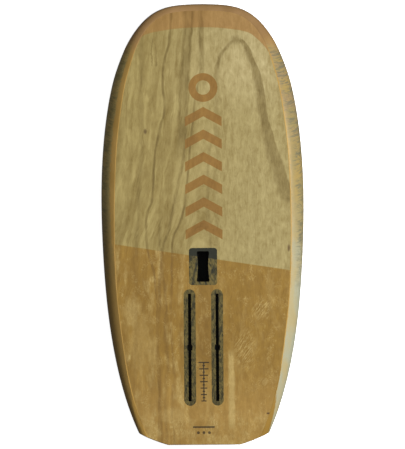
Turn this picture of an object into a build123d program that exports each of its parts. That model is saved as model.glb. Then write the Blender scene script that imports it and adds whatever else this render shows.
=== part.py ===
from build123d import *
import os
from math import asin, cos, radians, sqrt, tan

# A foil surfboard lying deck-down. +Y points to the nose, +Z out of the hull, and z = 0 is the plane
# that the deck pads rest on. All sizes are in millimetres.

# Overall board
LENGTH = 1448.0
THICKNESS = 115.0
PAD_THICKNESS = 5.0
SKIN = 3.0
DECK_Z = PAD_THICKNESS
HULL_Z = PAD_THICKNESS + THICKNESS
NOSE_Y = LENGTH / 2
TAIL_Y = -LENGTH / 2
REACH = 90.0
WIDE = 400.0

# Side profile: the hull is flat from the tail crease to the rocker, which is two tangent arcs
TAIL_CREASE_Y = -645.0
TAIL_KICK_DEG = 5.5
ROCKER_START_Y = 120.0
ENTRY_START_Y = 480.0
ROCKER_RADIUS = 3600.0
ENTRY_RADIUS = 1300.0
DECK_TAPER_START_Y = -676.0
DECK_TAPER_RADIUS = 200.0

# Plan outline from tail to nose: x, y, and how far in from the outline the chine and the deck edge lie
STATIONS = [
    (157.0, -790.0, 18.0, 17.0),
    (185.3, -740.0, 19.0, 18.0),
    (214.5, -684.0, 20.0, 19.0),
    (255.5, -576.0, 24.0, 21.0),
    (282.2, -476.0, 29.0, 23.0),
    (300.8, -379.0, 33.5, 25.0),
    (314.8, -274.0, 35.0, 26.0),
    (325.2, -149.0, 37.0, 26.0),
    (331.5, -11.0, 40.5, 26.0),
    (332.7, 94.0, 43.0, 26.0),
    (326.2, 245.0, 43.5, 26.0),
    (305.0, 409.0, 42.0, 26.0),
    (286.3, 488.0, 39.0, 25.0),
    (268.0, 540.0, 36.0, 24.0),
    (244.6, 593.0, 31.0, 23.0),
    (215.5, 639.0, 26.0, 22.0),
    (186.6, 672.0, 23.0, 21.0),
    (152.0, 698.0, 21.0, 20.0),
    (102.0, 716.5, 20.0, 19.0),
    (52.0, 722.5, 20.0, 18.0),
    (0.0, NOSE_Y, 20.0, 18.0),
]
TAIL_END_HALF_WIDTH = 118.0
TAIL_CORNER = (213.0, -686.0)
TAIL_BULGE = 2.5

# Rail section
CHINE_DEG = 20.0
NOSE_CHINE_DEG = 18.0
RAIL_DROP = 1.15
DECK_EDGE_DEG = 18.0
DECK_ROLL = 30.0
NOSE_DECK_ROLL = 20.0
RAIL_WIDTH = 50.0
RING_WIDTH = 75.0
CHINE_ROUND = 3.0
TAIL_CORNER_ROUND = 12.0
TAIL_RIM_ROUND = 3.0
HULL_SKIN_MARGIN = 3.0
DECK_SKIN_MARGIN = 4.0
NOSE_BLOCK_Y = 640.0
TAIL_BLOCK_Y = -664.0

# Foil tracks: two slotted boxes with an undercut for nuts, and one mouth each to drop the nuts in
TRACK_X = 45.0
TRACK_Y = -405.0
SLOT_LENGTH = 352.0
SLOT_WIDTH = 10.0
SLOT_CORNER = 2.0
MOUTH_WIDTH = 17.6
MOUTH_LENGTH = 20.0
MOUTH_CORNER = 6.0
MOUTH_Y = TRACK_Y
UNDERCUT_WIDTH = 17.6
UNDERCUT_HEIGHT = 8.0
LIP = 5.0
BOLT_GROOVE = 8.0
TRACK_BOX_LENGTH = 372.0
TRACK_BOX_WIDTH = 29.0
TRACK_BOX_DEPTH = 26.0
TRACK_PATCH_LENGTH = 381.0
TRACK_PATCH_WIDTH = 39.0
TRACK_PATCH = 0.8
TRACK_FOAM_WIDTH = 170.0
TRACK_FOAM_FRONT_Y = -206.0
TRACK_FOAM_BACK_Y = -606.0

# Carry handle: a pocket under a plate with a waisted hand opening
HANDLE_Y = -140.0
COVER_WIDTH = 92.0
COVER_LENGTH = 121.5
COVER_CORNER = 10.0
HAND_LENGTH = 100.0
HAND_FRONT_HALF = 21.0
HAND_WAIST_HALF = 17.0
HAND_BACK_HALF = 22.0
HAND_CORNER = 5.0
POCKET_WIDTH = 78.0
POCKET_LENGTH = 107.0
POCKET_DEPTH = 42.0
POCKET_CORNER = 12.0
POCKET_WALL = 3.0
HANDLE_FOAM_WIDTH = 130.0
HANDLE_FOAM_FRONT_Y = -62.0
HANDLE_FOAM_DEPTH = 60.0

# Air vent in the deck: the screw backs out four turns and lifts its seal off the seat
VENT_Y = 430.0
VENT_FLANGE_RADIUS = 14.0
VENT_BARREL_RADIUS = 10.0
VENT_LENGTH = 21.0
VENT_MOUTH_RADIUS = 6.6
VENT_MOUTH_DEPTH = 5.0
VENT_THREAD_RADIUS = 4.0
VENT_THREAD_LENGTH = 8.0
VENT_CHAMBER_RADIUS = 5.5
VENT_CHAMBER_LENGTH = 4.0
VENT_AIR_RADIUS = 1.5
MEMBRANE = 0.5
SCREW_CLEARANCE = 0.05
SCREW_HEAD_RADIUS = 6.0
SCREW_HEAD = 2.2
SCREW_RECESS = 1.1
SCREW_SHANK = 9.0
COIN_SLOT = (1.6, 10.0, 1.2)
SEAL_RING_RADIUS = 4.95
SEAL_SECTION_RADIUS = 0.8
SEAL_GAP = 0.05
VENT_FOAM_RADIUS = 25.0
VENT_FOAM_DEPTH = 30.0

# Leash cup in the deck near the tail
LEASH_Y = -640.0
CUP_FLANGE_RADIUS = 18.0
CUP_BARREL_RADIUS = 15.0
CUP_HOLLOW_RADIUS = 12.0
CUP_DEPTH = 24.0
CUP_FLOOR = 3.0
LEASH_PIN_RADIUS = 2.5
LEASH_PIN_DEPTH = 6.0
LEASH_PIN_LENGTH = 28.0
LEASH_FOAM_RADIUS = 23.0
LEASH_FOAM_DEPTH = 38.0

# Footstrap inserts: three straps, each held by a rectangle of four threaded inserts
STRAP_CENTRES = [(130.0, 90.0), (-130.0, 90.0), (0.0, -290.0)]
STRAP_SPAN = 150.0
STRAP_PITCH = 30.0
INSERT_RADIUS = 8.0
INSERT_LENGTH = 23.0
INSERT_HOLE_RADIUS = 2.5
INSERT_HOLE_DEPTH = 18.0
INSERT_FOAM = (40.0, 74.0, 30.0)

# Deck pads
PAD_MARGIN = 30.0
PAD_GAP = 6.0
PAD_CORNER = 15.0
PAD_HOLE_RADIUS = 10.0
FRONT_PADS = (-130.0, 300.0)
REAR_PADS = (-600.0, -136.0)


def blend(start, end, y):
    """A value that changes from start at the entry to end at the nose tip."""
    share = (y - ENTRY_START_Y) / (NOSE_Y - ENTRY_START_Y)
    return start + (end - start) * min(max(share, 0.0), 1.0)


def arc_drop(radius, distance):
    """How far a circle falls below its top at a distance along the tangent."""
    return radius - sqrt(radius**2 - distance**2)


def hull_z(y):
    """Height of the hull over the base plane."""
    if y <= TAIL_CREASE_Y:
        return HULL_Z - (TAIL_CREASE_Y - y) * tan(radians(TAIL_KICK_DEG))
    if y <= ROCKER_START_Y:
        return HULL_Z
    if y <= ENTRY_START_Y:
        return HULL_Z - arc_drop(ROCKER_RADIUS, y - ROCKER_START_Y)
    angle = asin((ENTRY_START_Y - ROCKER_START_Y) / ROCKER_RADIUS)
    start_z = HULL_Z - arc_drop(ROCKER_RADIUS, ENTRY_START_Y - ROCKER_START_Y)
    centre_y = ENTRY_START_Y - ENTRY_RADIUS * (ENTRY_START_Y - ROCKER_START_Y) / ROCKER_RADIUS
    centre_z = start_z - ENTRY_RADIUS * cos(angle)
    return centre_z + sqrt(ENTRY_RADIUS**2 - (y - centre_y) ** 2)


def deck_z(y):
    """Height of the deck over the base plane."""
    if y >= DECK_TAPER_START_Y:
        return DECK_Z
    return DECK_Z + arc_drop(DECK_TAPER_RADIUS, DECK_TAPER_START_Y - y)


def profile_line(height, shift, breaks, curved):
    """Edges of a side profile through its breaks; curved says which spans are arcs."""
    edges = []
    for start, end, is_arc in zip(breaks, breaks[1:], curved):
        first = (0, start, height(start) + shift)
        last = (0, end, height(end) + shift)
        middle = (start + end) / 2
        if is_arc:
            edges.append(ThreePointArc(first, (0, middle, height(middle) + shift), last))
        else:
            edges.append(Line(first, last))
    return edges


def hull_line(shift):
    breaks = [TAIL_Y - REACH, TAIL_CREASE_Y, ROCKER_START_Y, ENTRY_START_Y, NOSE_Y + REACH]
    return profile_line(hull_z, shift, breaks, [False, False, True, True])


def deck_line(shift):
    breaks = [TAIL_Y - REACH, DECK_TAPER_START_Y, NOSE_Y + REACH]
    return profile_line(deck_z, shift, breaks, [True, False])


def slab(lower, upper):
    """The layer between two side profile lines, wider than the board."""
    ends = [Line(lower[0] @ 0, upper[0] @ 0), Line(lower[-1] @ 1, upper[-1] @ 1)]
    face = Face(Wire(lower + upper + ends))
    return extrude(face, amount=WIDE, dir=(1, 0, 0), both=True)


def outline_frames():
    """Each station of the whole outline with its outward normal, from right tail to left tail."""
    left = [(-x, y, chine, edge) for x, y, chine, edge in reversed(STATIONS[:-1])]
    stations = STATIONS + left
    frames = []
    for index, (x, y, chine, edge) in enumerate(stations):
        before = stations[max(index - 1, 0)]
        after = stations[min(index + 1, len(stations) - 1)]
        back = Vector(x - before[0], y - before[1])
        ahead = Vector(after[0] - x, after[1] - y)
        tangent = Vector(0, 0)
        if back.length:
            tangent += back.normalized() * max(ahead.length, 1.0)
        if ahead.length:
            tangent += ahead.normalized() * max(back.length, 1.0)
        tangent = tangent.normalized()
        frames.append((Vector(x, y), Vector(tangent.Y, -tangent.X), chine, edge))
    return frames


def rail_section(point, normal, chine, edge):
    """The closed rail section at one station, standing square to the outline."""

    def at(inset, z):
        spot = point - normal * inset
        return (spot.X, spot.Y, z)

    slope = tan(radians(blend(CHINE_DEG, NOSE_CHINE_DEG, point.Y)))
    chine_z = hull_z(point.Y - normal.Y * chine)
    knuckle_z = chine_z - chine * slope
    over = 1.15 * chine
    edge_z = deck_z(point.Y - normal.Y * edge)
    edge_slope = tan(radians(DECK_EDGE_DEG))
    roll = 0.7 * edge
    past = 20.0
    low_z = edge_z - past * edge_slope
    high_z = chine_z + past * slope
    apex_low = edge_z + blend(DECK_ROLL, NOSE_DECK_ROLL, point.Y)
    apex_high = knuckle_z - chine * RAIL_DROP
    return Wire(
        [
            Line(at(RING_WIDTH, low_z), at(edge + past, low_z)),
            Line(at(edge + past, low_z), at(roll, edge_z + (edge - roll) * edge_slope)),
            Bezier(
                at(roll, edge_z + (edge - roll) * edge_slope),
                at(0, edge_z + edge * edge_slope),
                at(0, apex_low),
            ),
            Line(at(0, apex_low), at(0, apex_high)),
            Bezier(at(0, apex_high), at(0, knuckle_z), at(over, knuckle_z + over * slope)),
            Line(at(over, knuckle_z + over * slope), at(chine + past, high_z)),
            Line(at(chine + past, high_z), at(RING_WIDTH, high_z + past)),
            Line(at(RING_WIDTH, high_z + past), at(RING_WIDTH, low_z)),
        ]
    )


def inset_prism(inset):
    """An upright prism inside the outline; inset turns a station's chine and edge into a distance."""
    spots = []
    for point, normal, chine, edge in outline_frames():
        spots.append(point - normal * inset(chine, edge))
    curve = Spline([(spot.X, spot.Y, 0) for spot in spots])
    closing = Line(curve @ 1, curve @ 0)
    return extrude(Face(Wire([curve, closing])), amount=WIDE, dir=(0, 0, 1))


def band(y_low, y_high, x_low=-WIDE, x_high=WIDE, z_low=0.0, z_high=WIDE):
    """A block between limits, for cutting the board into pieces."""
    size = (x_high - x_low, y_high - y_low, z_high - z_low)
    middle = ((x_low + x_high) / 2, (y_low + y_high) / 2, (z_low + z_high) / 2)
    return Pos(*middle) * Box(*size)


def upright(sketch, x, y, z_low, z_high):
    """A flat outline stood up as a solid between two heights."""
    return Pos(x, y, z_low) * extrude(sketch, amount=z_high - z_low)


def tail_trim():
    """Everything ahead of the tail end and its two angled corners."""
    end = Vector(TAIL_END_HALF_WIDTH, TAIL_Y)
    corner = Vector(*TAIL_CORNER)
    along = corner - end
    middle = end + along * 0.5 + Vector(along.Y, -along.X).normalized() * TAIL_BULGE
    bow = ThreePointArc(end, middle, corner)
    beyond = corner + (bow % 1) * WIDE
    right = bow + Polyline(corner, beyond, (beyond.X, NOSE_Y + REACH))
    left = mirror(right, about=Plane.YZ)
    tail = Line((-end.X, end.Y), (end.X, end.Y))
    nose = Line((-beyond.X, NOSE_Y + REACH), (beyond.X, NOSE_Y + REACH))
    return extrude(make_face(right.edges() + left.edges() + [tail, nose]), amount=WIDE)


def board_block():
    """The board's side profile cut to the tail, with the tail's corners and rims rounded."""
    block = slab(deck_line(0), hull_line(0)) & tail_trim()
    corners = []
    for edge in block.edges().filter_by(Axis.Z):
        if abs((edge @ 0).Y - TAIL_Y) < 0.1:
            corners.append(edge)
    block = fillet(corners, radius=TAIL_CORNER_ROUND)
    rim = []
    for edge in block.edges().filter_by(Axis.Z, reverse=True):
        crosses = edge.geom_type == GeomType.LINE and abs((edge % 0).Y) < 0.001
        behind = (edge @ 0.5).Y < TAIL_BLOCK_Y + REACH / 2
        if behind and not (crosses and (edge @ 0).Y > TAIL_Y + 0.1):
            rim.append(edge)
    return fillet(rim, radius=TAIL_RIM_ROUND)


def rail_ring(block):
    """The rails, nose and tail corners as one ring round the board, with the chine rounded."""
    ring = Solid.make_loft([rail_section(*frame) for frame in outline_frames()]) & block
    inside = inset_prism(lambda chine, edge: RING_WIDTH - 10).solid()
    chine_edges = []
    for edge in ring.edges().filter_by(GeomType.BSPLINE):
        middle = edge @ 0.5
        on_hull = abs(middle.Z - hull_z(middle.Y)) < 0.05
        if on_hull and edge.length > CHINE_ROUND * 10 and not inside.is_inside(middle):
            chine_edges.append(edge)
    return fillet(chine_edges, radius=CHINE_ROUND)


def slot_outline():
    """The track slot with its nut mouth, centred on the track."""
    slot = RectangleRounded(SLOT_WIDTH, SLOT_LENGTH, SLOT_CORNER)
    mouth = RectangleRounded(MOUTH_WIDTH, MOUTH_LENGTH, MOUTH_CORNER)
    return slot + Pos(0, MOUTH_Y - TRACK_Y) * mouth


def track_patch(x):
    patch = SlotOverall(TRACK_PATCH_LENGTH, TRACK_PATCH_WIDTH, rotation=90)
    return upright(patch - slot_outline(), x, TRACK_Y, HULL_Z - TRACK_PATCH, HULL_Z)


def track_blank(x):
    """The outside of a track box."""
    outline = SlotOverall(TRACK_BOX_LENGTH, TRACK_BOX_WIDTH, rotation=90)
    top = HULL_Z - TRACK_PATCH
    return upright(outline, x, TRACK_Y, top - TRACK_BOX_DEPTH, top)


def foil_track(x):
    top = HULL_Z - TRACK_PATCH
    undercut_top = top - LIP
    groove_top = undercut_top - UNDERCUT_HEIGHT
    undercut = RectangleRounded(UNDERCUT_WIDTH, SLOT_LENGTH, SLOT_CORNER)
    groove = RectangleRounded(SLOT_WIDTH, SLOT_LENGTH, SLOT_CORNER)
    box = track_blank(x)
    box -= upright(slot_outline(), x, TRACK_Y, undercut_top, top)
    box -= upright(undercut, x, TRACK_Y, groove_top, undercut_top)
    box -= upright(groove, x, TRACK_Y, groove_top - BOLT_GROOVE, groove_top)
    return box


def hand_outline():
    """The waisted hand opening, centred on the handle."""
    front = HAND_LENGTH / 2
    sides = []
    for side in (1, -1):
        ends = (side * HAND_FRONT_HALF, front), (side * HAND_BACK_HALF, -front)
        sides.append(ThreePointArc(ends[0], (side * HAND_WAIST_HALF, 0), ends[1]))
    front_edge = Line(sides[0] @ 0, sides[1] @ 0)
    back_edge = Line(sides[0] @ 1, sides[1] @ 1)
    face = make_face(sides + [front_edge, back_edge])
    return fillet(face.vertices(), radius=HAND_CORNER)


def cover_outline():
    return RectangleRounded(COVER_WIDTH, COVER_LENGTH, COVER_CORNER)


def handle_cover():
    cover = upright(cover_outline() - hand_outline(), 0, HANDLE_Y, HULL_Z - SKIN, HULL_Z)
    return cover


def handle_blank():
    """The outside of the handle pocket: a flange under the cover, and the pocket below it."""
    top = HULL_Z - SKIN
    pocket = RectangleRounded(
        POCKET_WIDTH + 2 * POCKET_WALL, POCKET_LENGTH + 2 * POCKET_WALL, POCKET_CORNER + POCKET_WALL
    )
    flange = upright(cover_outline(), 0, HANDLE_Y, top - POCKET_WALL, top)
    return flange + upright(pocket, 0, HANDLE_Y, top - POCKET_DEPTH - POCKET_WALL, top)


def handle_box():
    top = HULL_Z - SKIN
    pocket = RectangleRounded(POCKET_WIDTH, POCKET_LENGTH, POCKET_CORNER)
    hollow = upright(pocket, 0, HANDLE_Y, top - POCKET_DEPTH, top)
    floor_edges = hollow.edges().group_by(Axis.Z)[0]
    return handle_blank() - fillet(floor_edges, radius=POCKET_CORNER - 1)


def disc(radius, x, y, z_low, z_high):
    return upright(Circle(radius), x, y, z_low, z_high)


def vent_blank():
    flange = disc(VENT_FLANGE_RADIUS, 0, VENT_Y, DECK_Z, DECK_Z + SKIN)
    return flange + disc(VENT_BARREL_RADIUS, 0, VENT_Y, DECK_Z, DECK_Z + VENT_LENGTH)


def vent_heights():
    """Heights of the seat, the chamber floor, the membrane's top and the chamber's top."""
    seat = DECK_Z + VENT_MOUTH_DEPTH
    chamber = seat + VENT_THREAD_LENGTH
    return seat, chamber, chamber + VENT_CHAMBER_LENGTH - MEMBRANE, chamber + VENT_CHAMBER_LENGTH


def vent_body():
    seat, chamber, _, top = vent_heights()
    body = vent_blank()
    body -= disc(VENT_MOUTH_RADIUS, 0, VENT_Y, DECK_Z, seat)
    body -= disc(VENT_THREAD_RADIUS, 0, VENT_Y, seat, chamber)
    body -= disc(VENT_CHAMBER_RADIUS, 0, VENT_Y, chamber, top)
    return body - disc(VENT_AIR_RADIUS, 0, VENT_Y, top, DECK_Z + VENT_LENGTH)


def vent_membrane():
    _, _, low, high = vent_heights()
    return disc(VENT_CHAMBER_RADIUS, 0, VENT_Y, low, high)


def vent_o_ring():
    seat = vent_heights()[0]
    centre = seat - SEAL_GAP - SEAL_SECTION_RADIUS
    return Pos(0, VENT_Y, centre) * Torus(SEAL_RING_RADIUS, SEAL_SECTION_RADIUS)


def vent_screw():
    low = DECK_Z + SCREW_RECESS
    head_top = low + SCREW_HEAD
    head = disc(SCREW_HEAD_RADIUS, 0, VENT_Y, low, head_top)
    head = chamfer(head.edges().group_by(Axis.Z)[0], length=0.4)
    width, length, depth = COIN_SLOT
    slot = Pos(0, VENT_Y, low + depth / 2) * Box(length, width, depth)
    shank = disc(VENT_THREAD_RADIUS - SCREW_CLEARANCE, 0, VENT_Y, head_top, head_top + SCREW_SHANK)
    return head + shank - slot


def leash_blank():
    flange = disc(CUP_FLANGE_RADIUS, 0, LEASH_Y, DECK_Z, DECK_Z + SKIN)
    return flange + disc(CUP_BARREL_RADIUS, 0, LEASH_Y, DECK_Z, DECK_Z + CUP_DEPTH)


def leash_pin():
    across = Rot(0, 90, 0) * Cylinder(LEASH_PIN_RADIUS, LEASH_PIN_LENGTH)
    return Pos(0, LEASH_Y, DECK_Z + LEASH_PIN_DEPTH) * across


def leash_cup():
    hollow = disc(CUP_HOLLOW_RADIUS, 0, LEASH_Y, DECK_Z, DECK_Z + CUP_DEPTH - CUP_FLOOR)
    hollow = fillet(hollow.edges().group_by(Axis.Z)[-1], radius=6)
    return leash_blank() - hollow - leash_pin()


def insert_spots():
    """Where each footstrap insert goes."""
    spots = []
    for centre_x, centre_y in STRAP_CENTRES:
        for x in (centre_x - STRAP_SPAN / 2, centre_x + STRAP_SPAN / 2):
            for y in (centre_y - STRAP_PITCH / 2, centre_y + STRAP_PITCH / 2):
                spots.append((x, y))
    return spots


def insert_blanks():
    top = DECK_Z + INSERT_LENGTH
    return [disc(INSERT_RADIUS, x, y, DECK_Z, top) for x, y in insert_spots()]


def footstrap_inserts():
    top = DECK_Z + INSERT_HOLE_DEPTH
    holes = [disc(INSERT_HOLE_RADIUS, x, y, DECK_Z, top) for x, y in insert_spots()]
    return [blank - hole for blank, hole in zip(insert_blanks(), holes)]


def insert_foam_blocks():
    """Foam under the four ends of the two front straps; the rear strap shares the track block."""
    width, length, depth = INSERT_FOAM
    blocks = []
    for centre_x, centre_y in STRAP_CENTRES[:2]:
        for x in (centre_x - STRAP_SPAN / 2, centre_x + STRAP_SPAN / 2):
            middle_z = DECK_Z + SKIN + depth / 2
            blocks.append(Pos(x, centre_y, middle_z) * Box(width, length, depth))
    return blocks


def track_foam():
    half = TRACK_FOAM_WIDTH / 2
    return band(
        TRACK_FOAM_BACK_Y, TRACK_FOAM_FRONT_Y, -half, half, DECK_Z + SKIN, HULL_Z - SKIN
    )


def handle_foam():
    half = HANDLE_FOAM_WIDTH / 2
    top = HULL_Z - SKIN
    return band(
        TRACK_FOAM_FRONT_Y, HANDLE_FOAM_FRONT_Y, -half, half, top - HANDLE_FOAM_DEPTH, top
    )


def deck_pad(side, y_range, zone):
    """One deck pad: the left or right half of a stretch of the deck, with holes at the inserts."""
    low, high = y_range
    inner, outer = sorted((side * PAD_GAP / 2, side * WIDE))
    pad = zone & band(low, high, inner, outer, 0, PAD_THICKNESS)
    pad = fillet(pad.edges().filter_by(Axis.Z), radius=PAD_CORNER)
    for x, y in insert_spots():
        pad -= disc(PAD_HOLE_RADIUS, x, y, 0, PAD_THICKNESS)
    return pad


def cut_away(solid, tools):
    for tool in tools:
        solid -= tool
    return solid


def board_pieces():
    """Every piece of the board under its name."""
    block = board_block()
    hull_layer = slab(hull_line(-SKIN), hull_line(REACH)) & block
    deck_layer = slab(deck_line(-REACH), deck_line(SKIN)) & block
    hull_skin = inset_prism(lambda chine, edge: chine + HULL_SKIN_MARGIN) & hull_layer
    deck_skin = inset_prism(lambda chine, edge: edge + DECK_SKIN_MARGIN) & deck_layer
    fill = inset_prism(lambda chine, edge: RAIL_WIDTH)
    ring = rail_ring(block) - fill - hull_skin - deck_skin
    centre = (fill & block) - hull_skin - deck_skin

    patches = {side: track_patch(side * TRACK_X) for side in (-1, 1)}
    track_blanks = [track_blank(side * TRACK_X) for side in (-1, 1)]
    slots = [
        upright(slot_outline(), side * TRACK_X, TRACK_Y, HULL_Z - TRACK_PATCH, HULL_Z)
        for side in (-1, 1)
    ]
    cover_blank = upright(cover_outline(), 0, HANDLE_Y, HULL_Z - SKIN, HULL_Z)
    hull_cuts = list(patches.values()) + slots + track_blanks + [cover_blank]
    hull_skin = cut_away(hull_skin, hull_cuts)
    deck_skin = cut_away(deck_skin, [vent_blank(), leash_blank()] + insert_blanks())

    vent_foam = disc(VENT_FOAM_RADIUS, 0, VENT_Y, DECK_Z + SKIN, DECK_Z + SKIN + VENT_FOAM_DEPTH)
    leash_foam = disc(
        LEASH_FOAM_RADIUS, 0, LEASH_Y, DECK_Z + SKIN, DECK_Z + SKIN + LEASH_FOAM_DEPTH
    )
    foams = [track_foam(), handle_foam(), vent_foam, leash_foam] + insert_foam_blocks()
    middle = band(TAIL_BLOCK_Y, NOSE_BLOCK_Y)
    pieces = {
        "eps_core": cut_away(centre & middle, foams),
        "nose_block": (ring + centre) & band(NOSE_BLOCK_Y, NOSE_Y + REACH),
        "tail_block": centre & band(TAIL_Y - REACH, TAIL_BLOCK_Y),
        "track_foam_block": cut_away(track_foam(), track_blanks + insert_blanks()),
        "handle_foam_block": handle_foam() - handle_blank(),
        "handle_box": handle_box(),
        "handle_cover": handle_cover(),
        "vent_foam_plug": vent_foam - vent_blank(),
        "vent_body": vent_body(),
        "vent_membrane": vent_membrane(),
        "vent_o_ring": vent_o_ring(),
        "vent_screw": vent_screw(),
        "leash_foam_plug": leash_foam - leash_blank(),
        "leash_cup": leash_cup(),
        "leash_pin": leash_pin(),
        "footstrap_inserts": footstrap_inserts(),
        "insert_foam_blocks": [cut_away(block, insert_blanks()) for block in insert_foam_blocks()],
    }
    pad_zone = inset_prism(lambda chine, edge: edge + PAD_MARGIN)
    for side, word in ((-1, "left"), (1, "right")):
        x_low, x_high = sorted((0, side * WIDE))
        half = band(TAIL_Y - REACH, NOSE_Y + REACH, x_low, x_high)
        pieces["rail_" + word] = ring & band(TAIL_Y - REACH, NOSE_BLOCK_Y, x_low, x_high)
        pieces["bottom_skin_" + word] = hull_skin & half
        pieces["deck_skin_" + word] = deck_skin & half
        pieces["foil_track_" + word] = foil_track(side * TRACK_X)
        pieces["track_patch_" + word] = patches[side]
        pieces["front_pad_" + word] = deck_pad(side, FRONT_PADS, pad_zone)
        pieces["rear_pad_" + word] = deck_pad(side, REAR_PADS, pad_zone)
    return pieces


os.makedirs("parts", exist_ok=True)
for name, piece in board_pieces().items():
    solid = Compound(piece) if isinstance(piece, list) else piece
    export_step(solid, "parts/" + name + ".step")
    print(name, len(solid.solids()), round(solid.volume))
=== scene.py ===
import math
from types import SimpleNamespace

import bmesh
import bpy
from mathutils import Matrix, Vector


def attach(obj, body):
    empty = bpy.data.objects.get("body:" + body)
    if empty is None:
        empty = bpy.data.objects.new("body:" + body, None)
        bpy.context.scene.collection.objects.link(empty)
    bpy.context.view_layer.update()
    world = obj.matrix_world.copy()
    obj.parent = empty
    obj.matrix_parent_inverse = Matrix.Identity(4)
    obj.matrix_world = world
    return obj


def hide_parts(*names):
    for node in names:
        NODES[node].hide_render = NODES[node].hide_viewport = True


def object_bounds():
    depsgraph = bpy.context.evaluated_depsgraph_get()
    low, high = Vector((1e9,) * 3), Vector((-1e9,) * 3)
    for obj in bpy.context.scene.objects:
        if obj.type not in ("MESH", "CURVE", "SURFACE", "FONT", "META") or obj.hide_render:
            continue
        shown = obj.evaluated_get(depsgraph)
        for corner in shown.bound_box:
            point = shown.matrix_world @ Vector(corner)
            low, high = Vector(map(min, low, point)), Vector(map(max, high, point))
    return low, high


# The looks of a wood-veneered foil surfboard that lies on its deck, with its hull up and its nose
# towards +Y. Left is -X, as in the photograph. Materials work in millimetres in the CAD frame.

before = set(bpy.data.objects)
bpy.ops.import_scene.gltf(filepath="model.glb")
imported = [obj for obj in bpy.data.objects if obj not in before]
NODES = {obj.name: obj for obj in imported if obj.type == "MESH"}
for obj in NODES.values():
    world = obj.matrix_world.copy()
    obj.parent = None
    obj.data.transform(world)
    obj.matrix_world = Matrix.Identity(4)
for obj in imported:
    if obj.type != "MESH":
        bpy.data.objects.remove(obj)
CAD_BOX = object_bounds()

MM = 0.001
MM_PER_METRE = 1000.0
PLAIN_WHITE = (1.0, 1.0, 1.0, 1.0)

TAIL_END, NOSE_END = (round(corner[1] * MM_PER_METRE) for corner in CAD_BOX)


# ---------------------------------------------------------------- node helpers


def linear(red, green, blue):
    """A linear colour from 0-255 sRGB values."""
    out = []
    for value in (red, green, blue):
        c = value / 255.0
        out.append(c / 12.92 if c <= 0.04045 else ((c + 0.055) / 1.055) ** 2.4)
    return (*out, 1.0)


class Value:
    """A number that a node works out, with ordinary arithmetic."""

    def __init__(self, make, socket):
        self.make = make
        self.socket = socket

    def __add__(self, other):
        return self.make.math("ADD", self, other)

    def __radd__(self, other):
        return self.make.math("ADD", other, self)

    def __sub__(self, other):
        return self.make.math("SUBTRACT", self, other)

    def __rsub__(self, other):
        return self.make.math("SUBTRACT", other, self)

    def __mul__(self, other):
        return self.make.math("MULTIPLY", self, other)

    def __rmul__(self, other):
        return self.make.math("MULTIPLY", other, self)

    def __truediv__(self, other):
        return self.make.math("DIVIDE", self, other)

    def __abs__(self):
        return self.make.math("ABSOLUTE", self)


# How strongly a change of shade shows in red, green and blue.
WARM_GAINS = (0.86, 1.0, 1.4)


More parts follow.
